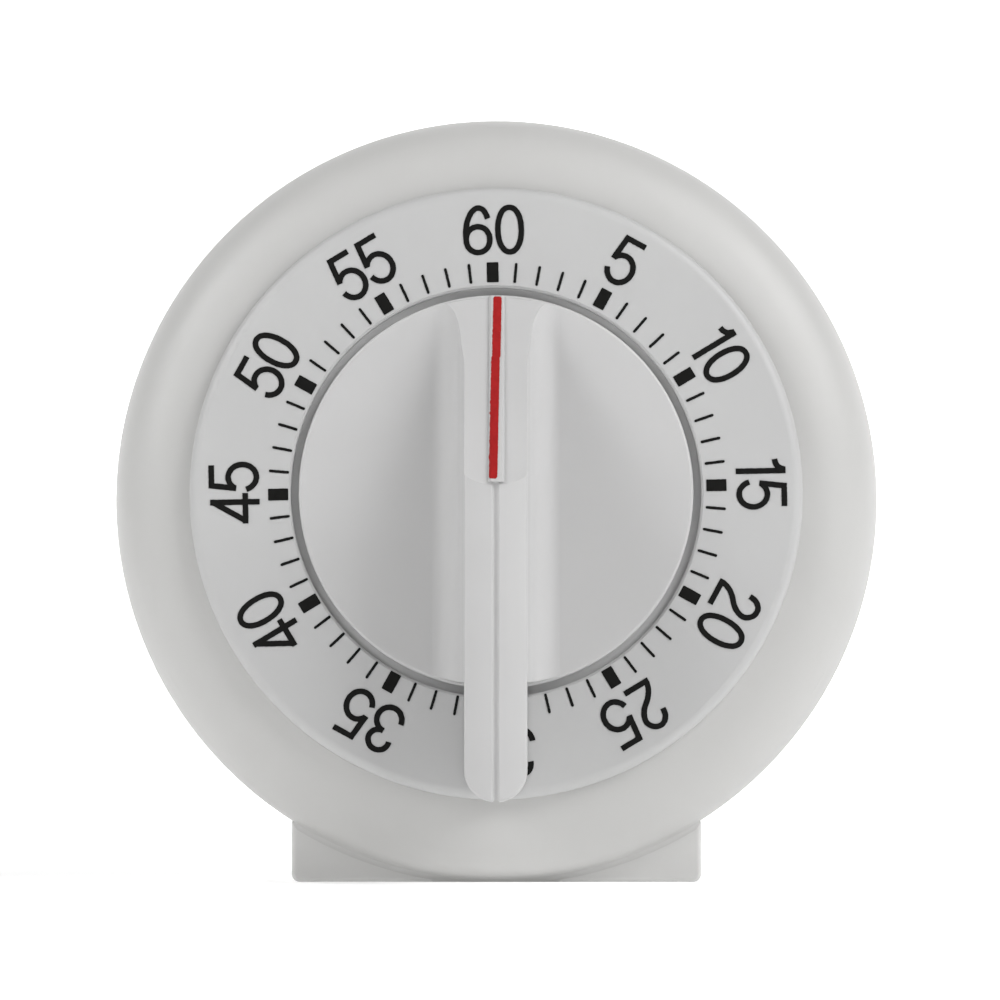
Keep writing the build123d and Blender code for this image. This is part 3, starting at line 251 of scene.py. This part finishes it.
def make_materials():
    """One finished material for each slot of the record, and the inks."""
    return {
        "white_plastic": moulded_plastic(
            "case_plastic", (0.532, 0.530, 0.521), (0.512, 0.509, 0.500), 0.42, 0.10),
        "dial_plastic": moulded_plastic(
            "dial_plastic", (0.506, 0.507, 0.505), (0.490, 0.490, 0.490), 0.42, 0.10),
        # lighter copy of the case plastic for the rear case and its foot: painted light that
        # makes up for the shade under the bezel's overhang
        "rear_plastic_painted_light": moulded_plastic(
            "rear_plastic_painted_light", (0.605, 0.603, 0.594), (0.586, 0.583, 0.574), 0.42, 0.10),
        "knob_plastic": moulded_plastic(
            "knob_plastic", (0.540, 0.538, 0.538), (0.520, 0.518, 0.518), 0.40, 0.10),
        "plate_steel": metal(
            "plate_steel", (0.66, 0.66, 0.64), (0.52, 0.53, 0.52), 0.30, (1, 1, 9), 0.3),
        "wheel_brass": metal(
            "wheel_brass", (0.83, 0.62, 0.27), (0.66, 0.46, 0.18), 0.24, (1, 1, 1), 0.25),
        "arbor_steel": metal(
            "arbor_steel", (0.72, 0.72, 0.72), (0.58, 0.58, 0.58), 0.20, (1, 9, 1), 0.25),
        "zinc_screws": metal(
            "zinc_screws", (0.74, 0.75, 0.77), (0.60, 0.61, 0.63), 0.26, (1, 1, 1), 0.3),
        "spring_steel": metal(
            "spring_steel", (0.25, 0.27, 0.33), (0.16, 0.17, 0.21), 0.28, (1, 9, 1), 0.25),
        "bell_steel": metal(
            "bell_steel", (0.80, 0.79, 0.77), (0.70, 0.69, 0.66), 0.12, (1, 1, 1), 0.12),
        "ink_black": printing_ink("ink_black", (0.0075, 0.0075, 0.007), (0.005, 0.005, 0.0045)),
        "ink_red": printing_ink("ink_red", (0.39, 0.0165, 0.017), (0.31, 0.012, 0.0125)),
    }


def paint_frame(materials):
    """Gives every CAD node the finished material of its slot."""
    for part in frame["record"]["subparts"]:
        mesh = frame["nodes"][part["node"]].data
        for index in range(len(mesh.materials)):
            mesh.materials[index] = materials[part["material_slot"]]
    # the knob gets its own tone; the rear case gets the lighter plastic, painted light against
    # the shade on the foot
    for name, finish in (("knob", "knob_plastic"), ("rear_case", "rear_plastic_painted_light")):
        mesh = frame["nodes"][name].data
        for index in range(len(mesh.materials)):
            mesh.materials[index] = materials[finish]


# ---------------------------------------------------------------- strokes
def arc(centre, radii, start, end, steps=28):
    """Points of an elliptic arc in degrees, counter-clockwise if end is larger."""
    points = []
    for index in range(steps + 1):
        angle = math.radians(start + (end - start) * index / steps)
        points.append(
            (centre[0] + radii[0] * math.cos(angle), centre[1] + radii[1] * math.sin(angle))
        )
    return points


def oval(centre, radii, power, steps=64):
    """Closed superellipse."""
    points = []
    for index in range(steps):
        angle = 2 * math.pi * index / steps
        across, along = math.cos(angle), math.sin(angle)
        points.append(
            (
                centre[0] + radii[0] * math.copysign(abs(across) ** (2 / power), across),
                centre[1] + radii[1] * math.copysign(abs(along) ** (2 / power), along),
            )
        )
    return points


def smooth(points, steps=8):
    """Catmull-Rom curve through the points."""
    ends = [points[0], *points, points[-1]]
    curve = []
    for index in range(1, len(ends) - 2):
        a, b, c, d = (Vector(ends[index + k]) for k in (-1, 0, 1, 2))
        for step in range(steps):
            t = step / steps
            curve.append(
                tuple(
                    0.5
                    * (
                        2 * b
                        + (c - a) * t
                        + (2 * a - 5 * b + 4 * c - d) * t * t
                        + (3 * b - a - 3 * c + d) * t**3
                    )
                )
            )
    curve.append(points[-1])
    return curve


def respaced(points, spacing, closed):
    """The same line with points an even distance apart."""
    line = [Vector(p) for p in points]
    if closed:
        line.append(line[0])
    lengths = [0.0]
    for a, b in zip(line, line[1:]):
        lengths.append(lengths[-1] + (b - a).length)
    count = max(2, round(lengths[-1] / spacing))
    even = []
    segment = 0
    for index in range(count + 1):
        want = lengths[-1] * index / count
        while segment < len(line) - 2 and lengths[segment + 1] < want:
            segment += 1
        span = max(lengths[segment + 1] - lengths[segment], 1e-9)
        even.append(line[segment].lerp(line[segment + 1], (want - lengths[segment]) / span))
    return even[:-1] if closed else even


def edges_of_stroke(points, width, closed, chance, ends=()):
    """Left and right edge of a slightly ragged stroke; ends narrows its first and last points."""
    left, right = [], []
    total = len(points)
    for index, point in enumerate(points):
        from_end = min(index, total - 1 - index)
        half = width / 2 * (ends[from_end] if from_end < len(ends) else 1.0)
        if closed:
            along = points[(index + 1) % total] - points[index - 1]
        else:
            along = points[min(index + 1, total - 1)] - points[max(index - 1, 0)]
        along.normalize()
        side = Vector((-along[1], along[0]))
        left.append(point + side * (half + chance.uniform(-RAGGED, RAGGED)))
        right.append(point - side * (half + chance.uniform(-RAGGED, RAGGED)))
    return left, right


def slab(shape, left, right, closed, lift, height):
    """Adds a thin raised band between two edges to a mesh; lift places (x, z, height)."""
    count = len(left)
    rows = []
    for index in range(count):
        rows.append(
            [
                shape.verts.new(lift(left[index], height)),
                shape.verts.new(lift(right[index], height)),
                shape.verts.new(lift(right[index], -INK_SINK)),
                shape.verts.new(lift(left[index], -INK_SINK)),
            ]
        )
    pairs = list(zip(rows, rows[1:]))
    if closed:
        pairs.append((rows[-1], rows[0]))
    for here, there in pairs:
        for k in range(4):
            shape.faces.new((here[k], here[(k + 1) % 4], there[(k + 1) % 4], there[k]))
    if not closed:
        shape.faces.new(rows[0][::-1])
        shape.faces.new(rows[-1])


def draped(shape, left, right, columns, lift):
    """Adds a thin film between two edges that follows the surface across its width too."""
    tops, bottoms = [], []
    for a, b in zip(left, right):
        across = [a.lerp(b, k / columns) for k in range(columns + 1)]
        tops.append([shape.verts.new(lift(point, INK_HEIGHT)) for point in across])
        bottoms.append([shape.verts.new(lift(point, -INK_SINK)) for point in across])
    for index in range(len(left) - 1):
        for grid in (tops, bottoms):
            here, there = grid[index], grid[index + 1]
            for k in range(columns):
                shape.faces.new((here[k], here[k + 1], there[k + 1], there[k]))
        for k in (0, columns):
            shape.faces.new(
                (tops[index][k], tops[index + 1][k], bottoms[index + 1][k], bottoms[index][k])
            )
    for index in (0, -1):
        for k in range(columns):
            shape.faces.new(
                (tops[index][k], tops[index][k + 1], bottoms[index][k + 1], bottoms[index][k])
            )


def glyph_strokes():
    """Centre lines of the digits: name to width and a list of (points, closed)."""
    half = STROKE / 2
    top = CAP - half
    return {
        "0": (3.83, [(oval((1.92, CAP / 2), (1.54, top - CAP / 2), 2.15), True)]),
        "1": (
            1.93,
            [
                ([(1.555, 0.0), (1.555, CAP - 0.12)], False),
                (smooth([(0.02, 5.12), (0.62, 5.26), (1.12, 5.66), (1.42, 6.42)]), False),
            ],
        ),
        "2": (
            3.75,
            [
                (
                    smooth(
                        [
                            (0.38, 4.50), (0.52, 5.35), (1.02, 6.04), (1.72, top),
                            (2.47, 6.06), (3.06, 5.35), (3.10, 4.50), (2.50, 3.38),
                            (1.38, 2.38), (0.72, 1.45), (0.44, 0.55),
                        ]
                    ),
                    False,
                ),
                ([(0.08, half), (3.72, half)], False),
            ],
        ),
        "3": (
            3.80,
            [
                (arc((1.82, 4.95), (1.38, top - 4.95), 196, -90), False),
                (arc((1.82, 2.02), (1.64, 2.02 - half), 90, -176), False),
            ],
        ),
        "4": (
            4.00,
            [
                ([(0.0, 1.88), (4.0, 1.88)], False),
                ([(2.82, 0.0), (2.82, 6.50)], False),
                ([(0.30, 1.75), (2.92, 6.28)], False),
            ],
        ),
        "5": (
            3.90,
            [
                ([(3.50, top), (0.66, top)], False),
                ([(0.86, CAP - 0.02), (0.42, 3.05)], False),
                (arc((1.87, 2.23), (1.66, 2.23 - half), 147, -165), False),
            ],
        ),
        "6": (
            3.88,
            [
                (oval((1.97, 2.08), (1.55, 2.08 - half), 2.1), True),
                (
                    smooth(
                        [
                            (0.43, 1.85), (0.38, 2.95), (0.50, 4.05), (0.84, 5.10),
                            (1.36, 5.93), (2.08, top), (2.82, 5.90), (3.32, 4.85),
                        ]
                    ),
                    False,
                ),
            ],
        ),
    }


def dial_point(angle, across, along):
    """Point of a radial frame: clock angle, sideways distance and radius, in millimetres."""
    sine, cosine = math.sin(angle) * PRINT_SCALE, math.cos(angle) * PRINT_SCALE
    return (along * sine + across * cosine, along * cosine - across * sine)


def mesh_object(name, shape, material, body):
    """Turns a bmesh into an object that rides a body."""
    bmesh.ops.recalc_face_normals(shape, faces=shape.faces)
    data = bpy.data.meshes.new(name)
    shape.to_mesh(data)
    shape.free()
    data.materials.append(material)
    made = bpy.data.objects.new(name, data)
    bpy.context.scene.collection.objects.link(made)
    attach(made, body)
    return made


def make_scale(material):
    """Sixty ticks and the numerals, printed as one raised film of ink."""
    chance = random.Random(11)
    glyphs = glyph_strokes()
    shape = bmesh.new()

    def lift(point, height):
        return (
            DIAL_X + (PRINT_RIGHT + point[0]) * MM,
            DIAL_FACE - height * MM,
            DIAL_Z + (PRINT_RISE + point[1]) * MM,
        )

    def stroke(points, width, closed, angle, shift, base, layer=0, ends=()):
        even = respaced(points, SAMPLE, closed)
        sides = []
        for side in edges_of_stroke(even, width, closed, chance, ends):
            sides.append([dial_point(angle, p[0] + shift, p[1] + base) for p in side])
        slab(shape, *sides, closed, lift, INK_HEIGHT + layer * LAYER)

    for minute in range(60):
        angle = math.radians(6 * minute) - PRINT_TURN
        major = minute % 5 == 0
        width, ends = (MAJOR_WIDTH, MAJOR_ENDS) if major else (MINOR_WIDTH, MINOR_ENDS)
        stroke([(0, 0), (0, TICK_LENGTH)], width, False, angle, 0.0, TICK_IN, 0, ends)
    for number in range(5, 61, 5):
        angle = math.radians(6 * number) - PRINT_TURN
        digits = str(number)
        across, spread, outward = PLACING[number]
        gap = LETTER_GAP + spread
        total = sum(glyphs[d][0] for d in digits) + gap * (len(digits) - 1)
        shift = across - total / 2
        for digit in digits:
            for layer, (points, closed) in enumerate(glyphs[digit][1]):
                stroke(points, STROKE, closed, angle, shift, NUMERAL_BASE + outward, layer)
            shift += glyphs[digit][0] + gap
    return mesh_object("dial_print", shape, material, "case")


def make_pointer(material):
    """Red line on the knob's rib, laid on the knob's surface."""
    chance = random.Random(5)
    knob = frame["nodes"]["knob"]
    tree = BVHTree.FromObject(knob, bpy.context.evaluated_depsgraph_get())
    shape = bmesh.new()

    def lift(point, height):
        x = DIAL_X + point[0] * MM
        z = DIAL_Z + point[1] * MM
        hit = tree.ray_cast(Vector((x, KNOB_FRONT - CASE_RADIUS, z)), Vector((0, 1, 0)))
        return (x, hit[0][1] - height * MM, z)

    even = respaced([POINTER_TOP, POINTER_BOTTOM], SAMPLE, False)
    left, right = edges_of_stroke(even, POINTER_WIDTH, False, chance, POINTER_ENDS)
    for index in range(len(even)):
        share = index / (len(even) - 1)
        aside = POINTER_STEP[1] * (1 if share < POINTER_STEP[0] else -1)
        bite = chance.uniform(0, POINTER_WEAR)
        for place, depth, reach in POINTER_NICKS:
            bite = max(bite, depth * (1 - abs(share - place) / reach))
        left[index].x += aside
        right[index].x += aside - bite
    draped(shape, left, right, POINTER_COLUMNS, lift)
    return mesh_object("pointer_line", shape, material, "dial_knob")


def make_foot_crease(material):
    """Small concave rounding where the bezel meets the foot, and the web under its middle."""
    case = frame["nodes"]["front_case"]
    tree = BVHTree.FromObject(case, bpy.context.evaluated_depsgraph_get())
    toe_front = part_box("rear_case")[0][1] / MM - LAYER
    radius = CASE_RADIUS / MM
    reach = math.asin(FOOT_HALF / radius)
    shape = bmesh.new()
    rings = []
    for index in range(CREASE_STATIONS + 1):
        angle = reach * (2 * index / CREASE_STATIONS - 1)
        outward = Vector((math.sin(angle), 0, -math.cos(angle)))
        across = radius * math.sin(angle)
        size = min(1.0, TAPER_END + (FOOT_HALF - abs(across)) / FOOT_TAPER)
        past = max(0.0, abs(across) - FOOT_FLAT)
        face = toe_front + FOOT_ROUND - math.sqrt(FOOT_ROUND**2 - past**2)
        ahead = face - CREASE_AHEAD * size
        axis = Vector((DIAL_X, ahead * MM, DIAL_Z))
        hit = tree.ray_cast(axis + outward * 1.5 * CASE_RADIUS, -outward)[0]
        inner = (hit - axis).length / MM
        outer = radius + CREASE_DOWN * size
        section = []
        for step in range(CREASE_STEPS + 1):
            turn = math.pi / 2 * step / CREASE_STEPS
            r = outer - (outer - inner) * math.cos(turn)
            section.append((r, ahead + (face - ahead) * math.sin(turn)))
        middle = abs(across) < WEB_HALF
        ground = (DIAL_Z / MM - GROUND_CLEAR) / math.cos(angle)
        edge = ground if middle else outer + LAYER
        back = face + (WEB_DEPTH if middle else CREASE_SINK)
        section += [(edge, face), (edge, back), (inner - CREASE_SINK, back)]
        section.append((inner - CREASE_SINK, ahead))
        ring = []
        for r, y in section:
            x = DIAL_X + r * outward.x * MM
            z = max(DIAL_Z + r * outward.z * MM, GROUND_CLEAR * MM)
            ring.append(shape.verts.new((x, y * MM, z)))
        rings.append(ring)
    count = len(rings[0])
    for here, there in zip(rings, rings[1:]):
        for k in range(count):
            last = (k + 1) % count
            side = shape.faces.new((here[k], here[last], there[last], there[k]))
            side.smooth = k < CREASE_STEPS
    shape.faces.new(rings[0])
    shape.faces.new(rings[-1][::-1])
    made = mesh_object("foot_crease", shape, material, "case")
    return made


# ---------------------------------------------------------------- studio
def make_stage(name, profile, glow):
    """Sheet of luminous white paper along a profile of depth and height."""
    material, tree, shader = new_material(name + "_paper")
    fibre = noise(tree, 700.0, 4.0, 0.6)
    tree.links.new(ramp(tree, fibre, 0.92, 0.96), shader.inputs["Base Color"])
    shader.inputs["Roughness"].default_value = 0.85
    shader.inputs["Emission Color"].default_value = (1, 1, 1, 1)
    shader.inputs["Emission Strength"].default_value = glow
    add_bump(tree, shader, [(fibre, 0.05, 0.00005)])
    shape = bmesh.new()
    rows = []
    for y, z in profile:
        rows.append([shape.verts.new((x, y, z)) for x in (-STAGE_HALF, STAGE_HALF)])
    for here, there in zip(rows, rows[1:]):
        shape.faces.new((here[0], here[1], there[1], there[0]))
    bmesh.ops.recalc_face_normals(shape, faces=shape.faces)
    data = bpy.data.meshes.new(name)
    shape.to_mesh(data)
    shape.free()
    for face in data.polygons:
        face.use_smooth = True
    data.materials.append(material)
    sheet = bpy.data.objects.new(name, data)
    bpy.context.scene.collection.objects.link(sheet)


def sweep_profile():
    """Curve from the floor up into the wall behind the object."""
    points = []
    for index in range(STAGE_STEPS + 1):
        angle = math.pi / 2 * index / STAGE_STEPS
        points.append(
            (STAGE_DEPTH + STAGE_BEND * math.sin(angle), STAGE_BEND * (1 - math.cos(angle)))
        )
    return [*points, (STAGE_DEPTH + STAGE_BEND, STAGE_TOP)]


def area_light(name, place, size, power):
    """Rectangular soft light at a place that looks at the dial's middle."""
    data = bpy.data.lights.new(name, "AREA")
    data.shape = "RECTANGLE"
    data.size, data.size_y = size
    data.energy = power
    lamp = bpy.data.objects.new(name, data)
    lamp.location = place
    aim = Vector((0, 0, DIAL_Z)) - Vector(place)
    lamp.rotation_euler = aim.to_track_quat("-Z", "Y").to_euler()
    bpy.context.scene.collection.objects.link(lamp)


def make_lights():
    """Soft lights and a light tent that is dimmer on the camera's side."""
    for name, place, size, power in LIGHTS:
        area_light(name, place, size, power)
    world = bpy.data.worlds.new("studio")
    world.use_nodes = True
    tree = world.node_tree
    place = node(tree, "ShaderNodeTexCoord")
    split = node(tree, "ShaderNodeSeparateXYZ")
    tree.links.new(place.outputs["Generated"], split.inputs["Vector"])
    reach = node(tree, "ShaderNodeMapRange", interpolation_type="SMOOTHSTEP")
    reach.inputs["From Min"].default_value = TENT_TURN[0]
    reach.inputs["From Max"].default_value = TENT_TURN[1]
    reach.inputs["To Min"].default_value = TENT_FRONT
    reach.inputs["To Max"].default_value = TENT_SIDES
    tree.links.new(split.outputs["Y"], reach.inputs["Value"])
    tree.links.new(reach.outputs["Result"], tree.nodes["Background"].inputs["Strength"])
    bpy.context.scene.world = world


def make_camera():
    """Camera nearly square to the dial, a little below its axis and to its right."""
    data = bpy.data.cameras.new("camera")
    camera = bpy.data.objects.new("camera", data)
    target = Vector((DIAL_X, CAMERA_AIM, DIAL_Z))
    offset = Vector(
        (
            math.sin(CAMERA_TURN) * math.cos(CAMERA_RISE),
            -math.cos(CAMERA_TURN) * math.cos(CAMERA_RISE),
            math.sin(CAMERA_RISE),
        )
    )
    camera.location = target + offset * CAMERA_DISTANCE
    camera.rotation_euler = (-offset).to_track_quat("-Z", "Y").to_euler()
    data.sensor_width = 36.0
    data.lens = CASE_SHARE * data.sensor_width * CAMERA_DISTANCE / (2 * CASE_RADIUS)
    data.shift_x, data.shift_y = LENS_SHIFT
    data.clip_start = 0.01
    bpy.context.scene.collection.objects.link(camera)
    bpy.context.scene.camera = camera


materials = make_materials()
paint_frame(materials)
make_scale(materials["ink_black"])
make_pointer(materials["ink_red"])
make_foot_crease(materials["white_plastic"])
make_stage("studio_floor", [(STAGE_FRONT, 0.0), (STAGE_DEPTH, 0.0)], FLOOR_GLOW)
make_stage("studio_wall", sweep_profile(), WALL_GLOW)
make_lights()
make_camera()
bpy.context.scene.view_settings.view_transform = "Standard"
